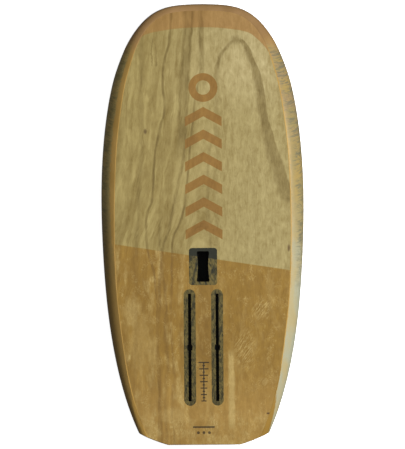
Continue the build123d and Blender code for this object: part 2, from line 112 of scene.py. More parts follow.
class Maker:
    """One material: its coordinates in millimetres, and short names for the nodes used here."""

    def __init__(self, name):
        self.material = bpy.data.materials.new(name)
        self.material.use_nodes = True
        self.tree = self.material.node_tree
        self.tree.nodes.clear()
        self.output = self.tree.nodes.new("ShaderNodeOutputMaterial")
        self.shader = self.tree.nodes.new("ShaderNodeBsdfPrincipled")
        self.tree.links.new(self.shader.outputs[0], self.output.inputs["Surface"])
        place = self.tree.nodes.new("ShaderNodeTexCoord").outputs["Object"]
        split = self.tree.nodes.new("ShaderNodeSeparateXYZ")
        self.tree.links.new(place, split.inputs[0])
        self.x, self.y, self.z = (Value(self, out) * MM_PER_METRE for out in split.outputs)
        facing = self.tree.nodes.new("ShaderNodeNewGeometry").outputs["Normal"]
        turned = self.tree.nodes.new("ShaderNodeSeparateXYZ")
        self.tree.links.new(facing, turned.inputs[0])
        self.up = Value(self, turned.outputs[2])

    def feed(self, socket, value):
        """Links a node's value to a socket, or sets the socket to a fixed number or colour."""
        if isinstance(value, Value):
            self.tree.links.new(value.socket, socket)
        elif isinstance(value, (int, float)):
            socket.default_value = float(value)
        else:
            socket.default_value = value

    def math(self, kind, *inputs, clamp=False):
        """The result of one of Blender's math nodes."""
        node = self.tree.nodes.new("ShaderNodeMath")
        node.operation = kind
        node.use_clamp = clamp
        for socket, value in zip(node.inputs, inputs):
            self.feed(socket, value)
        return Value(self, node.outputs[0])

    def least(self, a, b):
        return self.math("MINIMUM", a, b)

    def most(self, a, b):
        return self.math("MAXIMUM", a, b)

    def length(self, a, b):
        """The length of the flat vector (a, b)."""
        return self.math("SQRT", a * a + b * b)

    def step(self, low, high, value):
        """0 below low, 1 above high, and smooth between them; low may be the larger."""
        node = self.tree.nodes.new("ShaderNodeMapRange")
        node.interpolation_type = "SMOOTHSTEP"
        self.feed(node.inputs["Value"], value)
        first, last = (0.0, 1.0) if low < high else (1.0, 0.0)
        node.inputs["From Min"].default_value = min(low, high)
        node.inputs["From Max"].default_value = max(low, high)
        node.inputs["To Min"].default_value = first
        node.inputs["To Max"].default_value = last
        return Value(self, node.outputs[0])

    def within(self, low, high, value, soft):
        """1 between low and high, falling to 0 over soft outside them."""
        return self.step(low - soft, low, value) * self.step(high + soft, high, value)

    def curve(self, value, points):
        """A smooth graph through (input, output) points."""
        ordered = sorted(points)
        low, high = ordered[0][0], ordered[-1][0]
        heights = [height for _, height in points]
        bottom = min(heights)
        span = max(heights) - bottom
        node = self.tree.nodes.new("ShaderNodeFloatCurve")
        line = node.mapping.curves[0]
        marks = [((a - low) / (high - low), (b - bottom) / span) for a, b in ordered]
        line.points[0].location = marks[0]
        line.points[-1].location = marks[-1]
        for mark in marks[1:-1]:
            line.points.new(*mark)
        node.mapping.update()
        share = self.math("DIVIDE", self.math("SUBTRACT", value, low), high - low, clamp=True)
        self.feed(node.inputs["Value"], share)
        return Value(self, node.outputs[0]) * span + bottom

    def point(self, a, b, c=0.0):
        """Three numbers as one vector."""
        node = self.tree.nodes.new("ShaderNodeCombineXYZ")
        for socket, value in zip(node.inputs, (a, b, c)):
            self.feed(socket, value)
        return node.outputs[0]

    def noise(self, a, b, c=None, detail=2.0, rough=0.5, swirl=0.0, shift=0.0):
        """Noise from 0 to 1 over coordinates already divided by the size of its features."""
        node = self.tree.nodes.new("ShaderNodeTexNoise")
        node.noise_dimensions = "2D" if c is None else "3D"
        spot = self.point(a + shift, b + shift * 0.37, 0.0 if c is None else c)
        self.tree.links.new(spot, node.inputs["Vector"])
        node.inputs["Scale"].default_value = 1.0
        node.inputs["Detail"].default_value = detail
        node.inputs["Roughness"].default_value = rough
        node.inputs["Distortion"].default_value = swirl
        return Value(self, node.outputs[0])

    def cell_edges(self, size):
        """Distance from the nearest wall between cells of a size in millimetres."""
        node = self.tree.nodes.new("ShaderNodeTexVoronoi")
        node.feature = "DISTANCE_TO_EDGE"
        spot = self.point(self.x / size, self.y / size, self.z / size)
        self.tree.links.new(spot, node.inputs["Vector"])
        node.inputs["Scale"].default_value = 1.0
        return Value(self, node.outputs[0])

    def mix(self, share, a, b, how="MIX"):
        """Colour a turning into colour b, or into a times b, as share goes from 0 to 1."""
        node = self.tree.nodes.new("ShaderNodeMix")
        node.data_type = "RGBA"
        node.blend_type = how
        self.feed(node.inputs[0], share)
        self.feed(node.inputs[6], a)
        self.feed(node.inputs[7], b)
        return Value(self, node.outputs[2])

    def times(self, a, b):
        """Colour a multiplied by colour b."""
        return self.mix(1.0, a, b, how="MULTIPLY")

    def grey(self, value):
        """A number as a grey colour."""
        node = self.tree.nodes.new("ShaderNodeCombineColor")
        for socket in node.inputs[:3]:
            self.feed(socket, value)
        return Value(self, node.outputs[0])

    def warm(self, shade):
        """A number round 1 as a colour that is browner where it is darker."""
        node = self.tree.nodes.new("ShaderNodeCombineColor")
        for socket, gain in zip(node.inputs[:3], WARM_GAINS):
            self.feed(socket, shade * gain + (1.0 - gain))
        return Value(self, node.outputs[0])

    def finish(self, colour, rough, relief=None, depth=0.0002, metal=0.0, coat=0.0,
               coat_rough=0.1, specular=0.5):
        """Sets the shader. relief is a height from 0 to 1, and depth its full size in metres."""
        self.feed(self.shader.inputs["Base Color"], colour)
        self.feed(self.shader.inputs["Roughness"], rough)
        self.shader.inputs["Metallic"].default_value = metal
        self.shader.inputs["Coat Weight"].default_value = coat
        self.shader.inputs["Coat Roughness"].default_value = coat_rough
        self.shader.inputs["Specular IOR Level"].default_value = specular
        if relief is not None:
            bump = self.tree.nodes.new("ShaderNodeBump")
            bump.inputs["Strength"].default_value = 1.0
            bump.inputs["Distance"].default_value = depth
            self.feed(bump.inputs["Height"], relief)
            self.tree.links.new(bump.outputs[0], self.shader.inputs["Normal"])
        return self.material


def dress(material, *names):
    """Gives CAD nodes a material in every one of their slots."""
    for name in names:
        for spot in NODES[name].material_slots:
            spot.material = material


# ---------------------------------------------------------------- the hull's grain
#
# Lines on the wood are lists of (place along the board, place across it) in millimetres.

GRAIN_LEAN = [(TAIL_END, -112), (-100, -103), (0, -78), (100, -58), (240, -35), (500, -13),
              (NOSE_END, 3)]
LEFT_LINE = [(TAIL_END, -150), (-200, -156), (-10, -185), (80, -167), (210, -156), (330, -134),
             (390, -124), (450, -128), (510, -126), (600, -107), (700, -101)]
INNER_LINE = [(TAIL_END, -140), (-140, -140), (-20, -110), (100, -85), (240, -60), (510, -42),
              (700, -26)]
MIDDLE_LINE = [(TAIL_END, -98), (-90, -100), (0, -75), (90, -55), (250, -40), (500, -5),
               (540, 3), (575, -5), (700, 2)]
NOSE_LINE = [(400, -2), (NOSE_END, 0)]
RIGHT_OF_MIDDLE_LINE = [(TAIL_END, 30), (-50, 24), (100, 16), (250, 22), (330, 30)]
TAIL_LINE = [(TAIL_END, -128), (-300, -122), (-60, -140), (60, -128)]
FAR_LEFT_LINE = [(TAIL_END, -232), (-300, -226), (0, -214), (300, -196)]
BROAD_BAND = [(TAIL_END, -110), (0, -92), (250, -66), (400, -62), (600, -47), (700, -44)]

# Each line with its half width, the softness of its sides, its strength, and the places along the
# board where it starts to show and shows in full.
LONG_LINES = [
    (LEFT_LINE, 1.4, 5.0, 1.0, None),
    (INNER_LINE, 1.4, 7.0, 0.9, None),
    (MIDDLE_LINE, 1.2, 5.0, 0.9, None),
    (NOSE_LINE, 4.0, 9.0, 0.7, (440.0, 520.0)),
    (RIGHT_OF_MIDDLE_LINE, 0.8, 8.0, 0.6, (330.0, 240.0)),
    (TAIL_LINE, 1.0, 8.0, 0.8, (60.0, -60.0)),
    (FAR_LEFT_LINE, 1.0, 12.0, 0.45, None),
    (BROAD_BAND, 7.0, 14.0, 0.75, (180.0, 300.0)),
]

# Two short curls beside each other near the nose: line, where it ends towards the nose, strength.
CURLS = [
    ([(515, -156), (560, -164), (610, -160)], 606.0, 0.8),
    ([(515, -151), (560, -149), (610, -158)], 590.0, 0.6),
]
CURLS_START = 520.0

ARCH_PEAK = (112.0, 603.0)
ARCH_LEFT_LEG = [(TAIL_END, 44), (-100, 46), (450, 46), (490, 48), (535, 57), (580, 84),
                 (610, 112)]
ARCH_RIGHT_LEG = [(60, 292), (100, 271), (175, 246), (290, 215), (370, 196), (450, 188),
                  (500, 178), (536, 162), (573, 150), (606, 114)]
ARCH_RIGHT_BREADTH = [(60, 24.0), (200, 21.0), (330, 14.0), (450, 13.0), (560, 11.0),
                      (606, 15.0)]

# The right half of the veneer is plainer: its figure's strength, and what the left half adds.
PLAIN_FIGURE = 0.45
EXTRA_FIGURE = 0.85


def grain_line(m, across, points, half_width, soft):
    """A soft dark line that follows (along, across) points."""
    centre = m.curve(m.y, points)
    return m.step(half_width + soft, half_width, abs(across - centre))


def pale_edge(m, across, points):
    """The pale wood along the left side of a dark line."""
    away = m.curve(m.y, points) - across
    return m.step(2.0, 5.0, away) * m.step(15.0, 6.0, away)


def long_lines(m, across):
    """The dark grain lines that run the length of the board."""
    dark = 0.0
    for points, half_width, soft, strength, shows in LONG_LINES:
        line = grain_line(m, across, points, half_width, soft) * strength
        if shows is not None:
            line = line * m.step(*shows, m.y)
        dark = m.most(dark, line)
    return dark


def curls(m, ripple):
    """Two short wavy lines near the nose."""
    wobble = (m.noise(m.x / 14.0, m.y / 9.0, shift=53.0) - 0.5) * 8.0
    across = m.x + ripple * 1.6 + wobble
    dark = 0.0
    for points, end, strength in CURLS:
        line = grain_line(m, across, points, 0.4, 2.6)
        dark = m.most(dark, line * m.within(CURLS_START, end, m.y, 6.0) * strength)
    return dark


def arch_left_leg(m, across):
    """The thin side of the arch in the grain, which runs back along the middle."""
    leg = grain_line(m, across, ARCH_LEFT_LEG, 2.0, 9.0) * m.step(612.0, 598.0, m.y)
    return leg * (0.25 + 0.6 * m.step(380.0, 560.0, m.y))


def arch_right_leg(m, outward, breadth):
    """The broad side of the arch, darkest at its outer rim."""
    share = outward / breadth
    leg = m.step(1.25, 0.95, share) * m.step(-1.5, -0.3, share)
    rim = m.within(0.75, 1.0, share, 0.3) * m.step(560.0, 480.0, m.y)
    leg = m.most(leg, rim)
    return leg * m.step(618.0, 598.0, m.y) * m.step(60.0, 80.0, m.y)


def arch_peak(m, across):
    """The dark spot where the arch's two sides meet."""
    x, y = ARCH_PEAK
    return m.step(1.0, 0.2, m.length((across - x) / 26.0, (m.y - y) / 22.0)) * 0.85


def wood_shade(m, flow, wander, edge, past_arch):
    """Light and dark of the veneer, round 1: rings, drifts, mottle, fibres and pores."""
    figure = PLAIN_FIGURE + EXTRA_FIGURE * m.step(75.0, -70.0, m.x + wander)
    plain = 1.0 - (figure - PLAIN_FIGURE) / EXTRA_FIGURE
    cloud = m.noise(flow / 46.0, m.y / 240.0, detail=3.0, shift=7.0)
    streak = m.noise(flow / 21.0, m.y / 230.0, detail=3.0, rough=0.55, shift=3.0)
    drift = m.noise(flow / 17.0, m.y / 95.0, detail=3.0, rough=0.5, swirl=0.3, shift=47.0)
    curdle = m.noise(flow / 11.0, m.y / 26.0, detail=3.0, rough=0.6, shift=57.0)
    fibre = m.noise(flow / 3.4, m.y / 40.0, detail=2.0, shift=11.0)
    pore = m.noise(flow / 1.8, m.y / 12.0, detail=1.0, shift=17.0)
    mottle = m.noise(m.x / 16.0, m.y / 34.0, detail=5.0, rough=0.68, swirl=0.4, shift=59.0)
    blotch = m.noise(m.x / 13.0, m.y / 24.0, detail=4.0, rough=0.66, swirl=0.12, shift=67.0)
    rings = m.math("FRACT", flow / 24.0 + (cloud - 0.5) * 2.6)
    ring_line = m.step(0.70, 0.97, rings) * m.step(1.0, 0.98, rings)
    ring_here = m.step(0.42, 0.66, m.noise(flow / 40.0, m.y / 120.0, shift=23.0))

    shade = 1.0 + (cloud - 0.5) * 0.55 * figure
    shade = shade + (streak - 0.5) * 0.50 * figure
    shade = shade + (m.step(0.52, 0.70, drift) - 0.30) * 0.15 * figure
    shade = shade + (curdle - 0.5) * 0.20 * figure
    shade = shade + edge * 0.10
    shade = shade - m.step(6.0, 46.0, past_arch) * m.within(110.0, 560.0, m.y, 60.0) * 0.12
    shade = shade + (fibre - 0.5) * (0.22 + 0.14 * plain)
    shade = shade + (mottle - 0.5) * (0.46 + 0.45 * plain)
    shade = shade + (blotch - 0.5) * 0.30 * plain
    shade = shade - ring_line * ring_here * 0.12 * figure
    return shade - m.step(0.60, 0.8, pore) * 0.12


def hull_grain(m):
    """(light and dark of the veneer round 1, strength of its dark grain) over the hull.

    flow runs across the noise figure, which leans towards the nose; line_x is the place across
    the board that the drawn lines are measured from.
    """
    wander = (m.noise(m.x / 70.0, m.y / 150.0, detail=2.0) - 0.5) * 24.0
    ripple = (m.noise(m.x / 26.0, m.y / 60.0, detail=3.0, shift=29.0) - 0.5) * 7.0
    flow = m.x - m.curve(m.y, GRAIN_LEAN) * m.step(70.0, -40.0, m.x) + wander + ripple
    line_x = m.x + wander * (0.35 + 0.7 * m.step(-120.0, -330.0, m.y)) + ripple * 0.7
    outward = line_x + ripple * 0.8 - m.curve(m.y, ARCH_RIGHT_LEG)
    breadth = m.curve(m.y, ARCH_RIGHT_BREADTH)

    worn = 0.6 + 0.6 * m.step(0.3, 0.7, m.noise(m.x / 14.0, m.y / 50.0, detail=2.0, shift=37.0))
    lines = m.most(long_lines(m, line_x), curls(m, ripple))
    dark = m.least(m.most(lines, arch_left_leg(m, line_x)) * worn, 1.0)
    broad = m.most(arch_right_leg(m, outward, breadth), arch_peak(m, line_x))
    dark = m.most(dark, broad * (0.6 + 0.4 * worn))

    edge = m.most(pale_edge(m, line_x, LEFT_LINE), pale_edge(m, line_x, MIDDLE_LINE))
    return wood_shade(m, flow, wander, edge, outward - breadth), dark


# ---------------------------------------------------------------- the hull's tint and marks

# The tail's tint ends at a slanting line, the nose's at a curve of (across, along) points.
TINT_SLOPE = -90.0 / 584.0
TINT_MIDDLE = -110.0
NOSE_TINT = [(-292, 470), (-237, 540), (-218, 586), (-189, 619), (-155, 630), (0, 645),
             (108, 637), (150, 628), (180, 608), (237, 540), (292, 470)]

# The motif down the middle. A bar is a stretch of each pitch, measured along the board.
CHEVRON_MIDDLE = 4.0
CHEVRON_HALF_WIDTH = 60.3
CHEVRON_RISE = 0.55
CHEVRON_PITCH = 74.0
CHEVRON_SHIFT = 22.0
CHEVRON_BAR = (4.0, 34.0)
CHEVRON_ROW = (-20.0, 392.0)
RING_Y = 446.0
RING_RADII = (24.0, 47.0)

# The scale between the tracks, and the small mark near the tail.
RULER_ENDS = (-580.0, -454.0)
RULER_TICK_PITCH = 21.0

TAIL_BAR_X = (-36.0, 34.0)
TAIL_BAR_Y = (-668.0, -663.0)
TAIL_DOT_PITCH = 18.0
TAIL_DOTS_X = -1.0
TAIL_DOTS_Y = -684.0

# Patches are (x, y, half width, half length, strength).
PALE_PATCHES = [(-232.0, -285.0, 34.0, 58.0, 0.75), (-168.0, -420.0, 22.0, 70.0, 0.6),
                (-205.0, -390.0, 46.0, 120.0, 0.45), (-96.0, -628.0, 52.0, 32.0, 0.6)]
RUBBED_PATCHES = [(192.0, -280.0, 34.0, 42.0, 1.0), (136.0, -415.0, 42.0, 72.0, 0.9),
                  (196.0, -522.0, 30.0, 20.0, 0.6)]
WIPE_X = 91.0

# Small dark ovals are (x, y, half width, half length).
LEFT_KNOT = (-186.0, 303.0, 8.0, 12.0)
RIGHT_KNOT = (281.0, -81.0, 6.0, 17.0)
SMEAR = (210.0, -622.0, 8.0, 4.5)


def tint_mask(m, soft=1.6):
    """Where the translucent tint lies: behind the slanting line and over the nose."""
    tail = m.step(soft, -soft, m.y - m.x * TINT_SLOPE - TINT_MIDDLE)
    nose = m.step(-soft, soft, m.y - m.curve(m.x, NOSE_TINT))
    return tail, nose


def chevrons(m):
    """A plain row of chevrons with a ring ahead of them, in the tint's colour."""
    x = m.x - CHEVRON_MIDDLE
    wide = m.step(CHEVRON_HALF_WIDTH + 0.7, CHEVRON_HALF_WIDTH - 0.7, abs(x))
    rising = m.y + abs(x) * CHEVRON_RISE
    tooth = m.math("FLOORED_MODULO", rising + CHEVRON_SHIFT, CHEVRON_PITCH)
    bars = m.within(*CHEVRON_BAR, tooth, 0.9) * m.within(*CHEVRON_ROW, rising, 0.9)
    away = m.length(x, m.y - RING_Y)
    ring = m.within(*RING_RADII, away, 0.8)
    return m.most(bars * wide, ring)


def ruler(m):
    """The centring scale between the tracks: a line with long and short ticks."""
    low, high = RULER_ENDS
    pitch = RULER_TICK_PITCH
    line = m.step(2.3, 1.3, abs(m.x)) * m.within(low, high, m.y, 0.8)
    tick = m.math("FLOORED_MODULO", m.y - low + pitch / 2, pitch) - pitch / 2
    half = m.curve(m.y, [(low, 8.0), (low + 3 * pitch, 12.0), (high, 17.0)])
    long_ticks = m.step(2.3, 1.3, abs(tick)) * m.step(0.8, 0.0, abs(m.x) - half)
    other = m.math("FLOORED_MODULO", m.y - low, pitch) - pitch / 2
    short_ticks = m.step(2.2, 1.2, abs(other)) * m.step(4.8, 3.8, abs(m.x))
    ticks = m.most(long_ticks, short_ticks) * m.within(low - 2.0, high + 2.0, m.y, 0.8)
    return m.most(line, ticks)


def tail_mark(m):
    """A small plain mark on the tail: a bar with three dots under it."""
    bar = m.within(*TAIL_BAR_X, m.x, 1.0) * m.within(*TAIL_BAR_Y, m.y, 0.8)
    pitch = TAIL_DOT_PITCH
    x = m.x - TAIL_DOTS_X
    beside = m.math("FLOORED_MODULO", x + pitch / 2, pitch) - pitch / 2
    dots = m.step(5.2, 4.4, m.length(beside, m.y - TAIL_DOTS_Y)) * m.step(29.0, 28.0, abs(x))
    return m.most(bar, dots)


def away_from(m, place):
    """How far from the middle of an oval (x, y, half width, half length); 1 on its edge."""
    x, y, half_width, half_length = place
    return m.length((m.x - x) / half_width, (m.y - y) / half_length)


def ragged_patches(m, patches):
    """Soft patches with ragged edges."""
    ragged = m.noise(m.x / 20.0, m.y / 30.0, detail=4.0, rough=0.6, shift=71.0)
    cover = 0.0
    for *place, strength in patches:
        patch = m.step(1.15, 0.45, away_from(m, place) + (ragged - 0.5) * 1.1)
        cover = m.most(cover, patch * strength)
    return cover


def rubbed_hatching(m):
    """Short slanting scratches inside the rubbed patches."""
    slant = m.noise((m.x * 0.8 - m.y * 0.6) / 3.6, (m.x * 0.6 + m.y * 0.8) / 26.0, detail=3.0,
                    rough=0.65, swirl=0.7, shift=73.0)
    return ragged_patches(m, RUBBED_PATCHES) * m.step(0.48, 0.60, slant) * 0.9


def scribbles(m):
    """Thin looping scratches, in a few places only."""
    loops = m.noise(m.x / 10.0, m.y / 12.0, detail=2.0, swirl=1.3, shift=43.0)
    here = m.noise(m.x / 34.0, m.y / 46.0, detail=2.0, shift=49.0)
    return m.step(0.045, 0.012, abs(loops - 0.5)) * m.step(0.50, 0.62, here) * 0.6


def milky_clouds(m):
    """Where the tint coat is thin and milky: drifts along the board, scuffs and one long wipe."""
    drift = m.noise(m.x / 26.0, m.y / 110.0, detail=4.0, rough=0.6, swirl=0.25, shift=31.0)
    patch = m.noise(m.x / 50.0, m.y / 70.0, detail=3.0, rough=0.55, shift=35.0)
    fleck = m.noise(m.x / 5.0, m.y / 10.0, detail=4.0, rough=0.7, swirl=0.6, shift=41.0)
    grit = m.step(0.42, 0.62, fleck)
    left = m.step(60.0, -120.0, m.x)
    cloud = m.step(0.44, 0.70, drift) * m.step(0.40, 0.62, patch) * (0.35 + 0.5 * left)
    cloud = cloud * (0.55 + (0.25 + 0.4 * left) * grit)
    wipe = m.step(15.0, 4.0, abs(m.x - WIPE_X + (drift - 0.5) * 10.0))
    wipe = wipe * m.within(-650.0, -440.0, m.y, 40.0) * (0.8 + 0.4 * grit)
    behind = m.step(-600.0, -650.0, m.y) * m.step(0.36, 0.64, patch) * (0.2 + 0.8 * grit)
    pale = ragged_patches(m, PALE_PATCHES) * (0.6 + 0.4 * grit)
    milk = m.most(m.most(cloud, wipe), m.most(behind, scribbles(m)))
    milk = m.most(milk, m.most(pale, rubbed_hatching(m)))
    return m.least(milk, 1.0)


def bare_wood(m, across, dark):
    """The untinted veneer with its grain and two knots, paler on the right partly by painted
    light.
    """
    # Paler towards the right, and more so towards the nose on the right: partly the veneer's own
    # tone, partly painted light and sheen from the lit right side.
    right_wood_and_painted_light = m.mix(m.step(320.0, 540.0, m.y), linear(165, 149, 97), linear(182, 166, 117))
    pale = m.mix(across, linear(161, 142, 84), right_wood_and_painted_light)
    deep = m.mix(across, linear(120, 101, 50), linear(124, 106, 57))
    bare = m.mix(dark * 0.76, pale, deep)
    for place, colour in ((LEFT_KNOT, linear(88, 66, 34)), (RIGHT_KNOT, linear(96, 70, 34))):
        bare = m.mix(m.step(1.0, 0.25, away_from(m, place)) * 0.8, bare, colour)
    return bare


def tinted_wood(m, across, dark, nose, milk):
    """The veneer under the orange-brown tint, milky where the coat is thin."""
    tinted = m.mix(across, linear(149, 115, 45), linear(144, 111, 42))
    tinted = m.mix(m.step(-420.0, -640.0, m.y), tinted, linear(164, 129, 62))
    tinted = m.mix(nose, tinted, m.mix(across, linear(164, 128, 70), linear(166, 130, 77)))
    between_tracks = m.step(34.0, 16.0, abs(m.x - 6.0)) * m.within(-450.0, -200.0, m.y, 60.0)
    faded = 0.6 - 0.25 * m.step(-180.0, -330.0, m.y)
    shadowed = m.most(dark * faded, between_tracks * 0.3)
    tinted = m.mix(shadowed, tinted, linear(116, 86, 34))
    return m.mix(milk * 0.74, tinted, linear(194, 168, 102))


def hull_material():
    """Lacquered veneer, part of it tinted, with the printed marks on it."""
    m = Maker("hull_veneer_lacquered")
    shade, dark = hull_grain(m)
    across = m.step(-230.0, 250.0, m.x)
    tail, nose = tint_mask(m)
    milk = milky_clouds(m) * tail
    motif = chevrons(m)
    tinted = m.mix(motif, tinted_wood(m, across, dark, nose, milk), linear(143, 106, 47))
    covered = m.most(m.most(tail, nose), motif)
    top = m.mix(covered, bare_wood(m, across, dark), tinted)
    tone = m.mix(covered * 0.35, m.warm(shade), PLAIN_WHITE)
    top = m.times(top, tone)
    ink = m.most(ruler(m), tail_mark(m) * 0.85)
    top = m.mix(ink * 0.95, top, linear(34, 24, 8))
    top = m.mix(m.step(1.0, 0.4, away_from(m, SMEAR)) * 0.85, top, linear(70, 46, 22))
    scuff = m.noise(m.x / 30.0, m.y / 30.0, detail=5.0, rough=0.65, shift=51.0)
    rough = 0.34 + (scuff - 0.5) * 0.22 + milk * 0.16
    relief = shade * 0.5 + (scuff - 0.5) * 0.5
    return m.finish(top, rough, relief, depth=0.00018, coat=0.25, coat_rough=0.16)


# ---------------------------------------------------------------- rails, nose and tail

# How steep a rail is where the hull's tint ends on it: (place along the board, normal's z).
TINT_WRAP = [(TAIL_END, 0.25), (-690, 0.40), (-640, 0.66), (-560, 0.86), (-470, 0.96),
             (-300, 1.2)]


def rail_noise(m):
    """The noises that the rail's colours and strokes share."""
    return SimpleNamespace(
        patch=m.noise(m.x / 50.0, m.y / 120.0, m.z / 50.0, detail=4.0, rough=0.55),
        fine=m.noise(m.x / 30.0, m.y / 5.0, m.z / 30.0, detail=3.0, rough=0.6, shift=5.0),
        hair=m.noise(m.x / 44.0, (m.y + m.z * 0.35) / 6.5, m.z / 44.0, detail=4.0, rough=0.72,
                     swirl=0.3, shift=9.0),
        clump=m.noise(m.x / 80.0, m.y / 26.0, m.z / 80.0, detail=2.0, shift=13.0),
        wash=m.noise(m.x / 60.0, m.y / 70.0, m.z / 40.0, detail=3.0, shift=15.0))


def brush_strokes(m, rail):
    """Bristle marks and a haze of paint on the front two thirds of the bevel."""
    forward = m.step(-300.0, -60.0, m.y) * m.step(650.0, 560.0, m.y)
    reach = m.step(116.0, 100.0, m.z + (rail.fine - 0.5) * 26.0 + (rail.clump - 0.5) * 20.0)
    low = m.step(16.0, 40.0, m.z)
    cross = m.noise(m.x / 38.0, (m.y - m.z * 0.8) / 4.6, m.z / 38.0, detail=4.0, rough=0.7,
                    swirl=0.4, shift=21.0)
    bristle = m.most(m.step(0.46, 0.58, rail.hair * 0.75 + rail.clump * 0.25),
                     m.step(0.50, 0.60, cross * 0.75 + rail.clump * 0.25) * 0.9)
    haze = m.step(0.46, 0.66, rail.clump) * m.step(150.0, 300.0, m.y)
    haze = haze * m.step(96.0, 70.0, m.z) * 0.45
    return m.most(bristle, haze) * reach * low * forward


def bevel_colour(m, rail, right):
    """Tan paint forward, milky on the right and brown on the left behind, under the strokes."""
    tan = m.mix(m.step(0.35, 0.65, rail.wash), linear(161, 138, 82), linear(149, 133, 86))
    milky = m.mix(m.step(0.38, 0.62, rail.patch), linear(176, 162, 120), linear(164, 164, 140))
    behind = m.mix(right, linear(142, 114, 62), milky)
    tan = m.mix(m.step(160.0, -240.0, m.y), tan, behind)
    blush = right * m.step(180.0, 420.0, m.y) * m.step(0.35, 0.6, rail.clump)
    tan = m.mix(blush * 0.7, tan, linear(160, 134, 96))
    paint = m.mix(right, linear(112, 104, 66), linear(98, 100, 84))
    return m.mix(brush_strokes(m, rail) * 0.74, tan, paint)


def margin_colour(m, rail, right):
    """The tint on the rail's flat margin and round the nose, with a painted highlight on the
    right.
    """
    blend = m.step(0.3, 0.7, rail.patch)
    orange = m.mix(blend, linear(164, 130, 68), linear(174, 140, 78))
    front = m.mix(blend, linear(148, 116, 74), linear(156, 123, 82))
    bright = m.mix(blend, linear(178, 140, 68), linear(186, 151, 82))
    orange = m.mix(m.step(520.0, 640.0, m.y), orange, front)
    # Painted highlight: the right margin towards the tail gets a brighter colour, where the lamp
    # lights the chine.
    return m.mix(right * m.step(600.0, 480.0, m.y), orange, bright)


def rail_material():
    """Painted balsa: tinted on the flat margin, tan with blue-grey brush strokes on the bevel;
    with painted fill light on the left, a painted highlight on the right margin and painted shade
    on the nose rim.
    """
    m = Maker("rail_painted_balsa")
    rail = rail_noise(m)
    right = m.step(-210.0, 210.0, m.x)
    left = 1.0 - right
    hull_side = m.step(20.0, 30.0, m.z)
    nose = m.step(545.0, 615.0, m.y + (rail.clump - 0.5) * 50.0)
    wide = left * m.step(-200.0, 150.0, m.y) * (0.08 + (rail.hair - 0.5) * 0.16)
    flat = m.step(0.88, 0.92, m.up + wide + (rail.fine - 0.5) * 0.04) * hull_side
    painted = m.mix(m.most(nose, flat), bevel_colour(m, rail, right),
                    margin_colour(m, rail, right))
    wrap = m.up - m.curve(m.y, TINT_WRAP) + (rail.fine - 0.5) * 0.03
    # The tint wraps round the rail near the tail; its left colour is paler, which is painted fill
    # light on the shaded side.
    wrapped_tint_lit_left = m.mix(right, linear(176, 140, 72), linear(150, 117, 52))
    painted = m.mix(m.step(0.0, 0.06, wrap) * hull_side, painted, wrapped_tint_lit_left)
    # Painted shade: the nose rim darkens where the rolled edge turns down, away from the light.
    rim = m.step(0.42, 0.12, m.up) * m.step(590.0, 680.0, m.y)
    painted = m.mix(rim * 0.75, painted, linear(92, 70, 38))
    # Painted fill light: the left bevel is made paler on its shoulder towards the tail and on its
    # outer slope forward, where it faces away from the lamp.
    shoulder = m.step(-60.0, -360.0, m.y) * m.step(0.45, 0.75, m.up) * (1.0 - flat)
    outer = m.step(0.90, 0.60, m.up) * m.step(-50.0, 150.0, m.y)
    painted_fill_light = left * (0.24 + 0.30 * shoulder + 0.30 * outer)
    # Random tone from the patch noise, plus the painted fill light on the left.
    tone = m.grey(0.88 + rail.patch * 0.24 + painted_fill_light)
    painted = m.times(painted, tone)
    scuff = m.noise(m.x / 22.0, m.y / 22.0, m.z / 22.0, detail=5.0, rough=0.65, shift=19.0)
    rough = 0.36 + (scuff - 0.5) * 0.24
    relief = scuff * 0.6 + rail.hair * 0.4
    return m.finish(painted, rough, relief, depth=0.00016, coat=0.04, coat_rough=0.3,
                    specular=0.22)


def deck_material():
    """The deck's veneer: clear-lacquered wood, tinted over the tail."""
    m = Maker("deck_veneer_lacquered")
    wander = (m.noise(m.x / 70.0, m.y / 160.0, detail=2.0) - 0.5) * 18.0
    flow = m.x + wander
    cloud = m.noise(flow / 60.0, m.y / 300.0, detail=3.0, shift=61.0)
    streak = m.noise(flow / 12.0, m.y / 300.0, detail=4.0, rough=0.6, shift=63.0)
    fibre = m.noise(flow / 2.4, m.y / 60.0, detail=2.0, shift=67.0)
    rings = m.math("FRACT", flow / 26.0 + (cloud - 0.5) * 2.4)
    ring_line = m.step(0.62, 0.96, rings) * m.step(1.0, 0.985, rings)
    wood = m.mix(m.step(0.3, 0.7, streak), linear(160, 142, 92), linear(186, 168, 118))
    wood = m.mix(ring_line * 0.5, wood, linear(132, 112, 64))
    tint = m.step(-560.0, -566.0, m.y - abs(m.x) * 0.2)
    wood = m.mix(tint, wood, linear(158, 124, 68))
    tone = 1.0 + (cloud - 0.5) * 0.3 + (fibre - 0.5) * 0.14
    wood = m.times(wood, m.grey(tone))
    scuff = m.noise(m.x / 30.0, m.y / 30.0, detail=5.0, rough=0.65, shift=71.0)
    rough = 0.32 + (scuff - 0.5) * 0.2
    relief = streak * 0.5 + scuff * 0.5
    return m.finish(wood, rough, relief, depth=0.00015, coat=0.3, coat_rough=0.12)


# ---------------------------------------------------------------- fittings and inner pieces


def place_along(name):
    """Where the middle of a CAD node is along the board, in whole millimetres."""
    corners = [corner[1] for corner in NODES[name].bound_box]
    return round(MM_PER_METRE * sum(corners) / len(corners))


